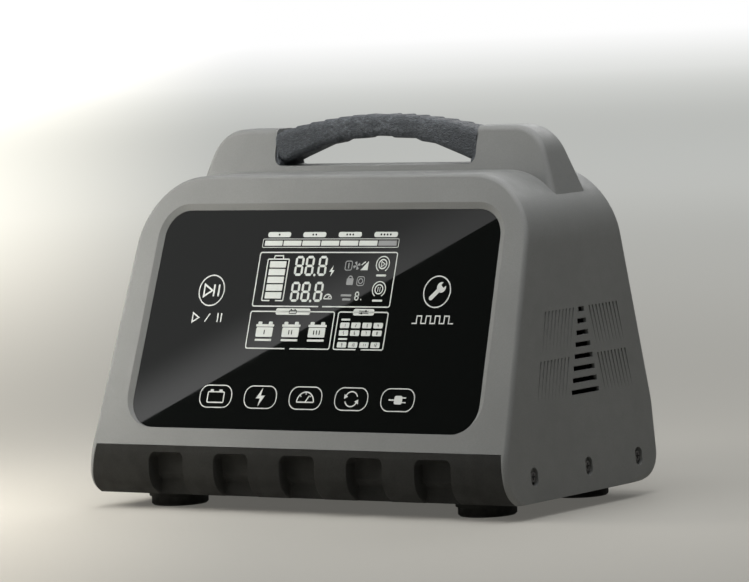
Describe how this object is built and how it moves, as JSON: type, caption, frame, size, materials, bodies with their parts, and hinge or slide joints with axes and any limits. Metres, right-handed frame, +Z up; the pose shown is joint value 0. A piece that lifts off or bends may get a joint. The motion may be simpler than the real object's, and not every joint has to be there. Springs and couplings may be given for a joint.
{
  "type": "car battery charger",
  "caption": "Desktop car battery charger with a sloping control face, rounded grey shell, black base and an arched carrying bar with a rubber grip.",
  "frame": {"origin": "on the floor, at the middle of the footprint of the whole charger", "axes": "+Z up, +X to the right as seen by someone facing the control window, so the window faces -Y"},
  "size_m": [0.3574, 0.1864, 0.2675],
  "materials": {
    "shell_grey": "fine moulded texture",
    "grip_rubber": "grained soft rubber",
    "window_black": "high gloss",
    "tape_black": "matt",
    "display_glass": "glossy",
    "circuit_board": "satin solder mask",
    "screw_steel": "plated",
    "screw_black": "black oxide",
    "spring_steel": "plated",
    "device_black": "matt moulded",
    "ribbon_grey": "satin",
    "cover_black": "fine moulded texture",
    "fan_black": "satin",
    "lead_insulation": "satin",
    "inlet_black": "satin",
    "pin_metal": "plated",
    "rocker_black": "satin gloss",
    "socket_red": "satin gloss",
    "socket_black": "satin gloss",
    "contact_brass": "turned",
    "base_black": "satin moulded",
    "heat_sink_metal": "extruded",
    "ferrite": "matt",
    "winding_tape": "satin",
    "can_sleeve": "sleeved",
    "winding_copper": "enamelled",
    "fuse_glass": "clear",
    "foot_rubber": "matt"
  },
  "bodies": {
    "body": {"main_shell": "shell_grey", "handle_grip": "grip_rubber", "control_lens": "window_black", "lens_tape": "tape_black", "lcd_module": "display_glass", "display_board": "circuit_board", "display_board_screws": "screw_steel", "touch_springs": "spring_steel", "buzzer": "device_black", "display_ribbon": "ribbon_grey", "rear_cover": "cover_black", "rear_cover_screws": "screw_black", "fan_frame": "fan_black", "fan_screws": "screw_black", "fan_lead": "lead_insulation", "mains_inlet": "inlet_black", "inlet_pins": "pin_metal", "inlet_screws": "screw_steel", "mains_leads": "lead_insulation", "switch_body": "inlet_black", "red_output_socket": "socket_red", "black_output_socket": "socket_black", "output_contacts": "contact_brass", "socket_nuts": "screw_steel", "output_leads": "lead_insulation", "base_tray": "base_black", "shell_screws": "screw_black", "foot_screws": "screw_steel", "main_board": "circuit_board", "main_board_screws": "screw_steel", "primary_heat_sink": "heat_sink_metal", "secondary_heat_sink": "heat_sink_metal", "power_transistors": "device_black", "transformer_core": "ferrite", "transformer_winding": "winding_tape", "bulk_capacitors": "can_sleeve", "output_capacitors": "can_sleeve", "mains_choke": "winding_copper", "output_choke": "winding_copper", "relay": "device_black", "fuse": "fuse_glass", "foot_front_left": "foot_rubber", "foot_front_right": "foot_rubber", "foot_rear_left": "foot_rubber", "foot_rear_right": "foot_rubber"},
    "fan": {"fan_rotor": "fan_black"},
    "rocker": {"power_rocker": "rocker_black"}
  },
  "joints": [
    {"name": "fan_spin", "type": "hinge", "parent": "body", "child": "fan", "pos_m": [0, 0.06718, 0.14233], "axis": [0, 0.989, 0.1478], "continuous": true},
    {"name": "power_rocker_tilt", "type": "hinge", "parent": "body", "child": "rocker", "pos_m": [0.088, 0.07954, 0.14418], "axis": [1, 0, 0], "range_deg": [0, 20]}
  ]
}
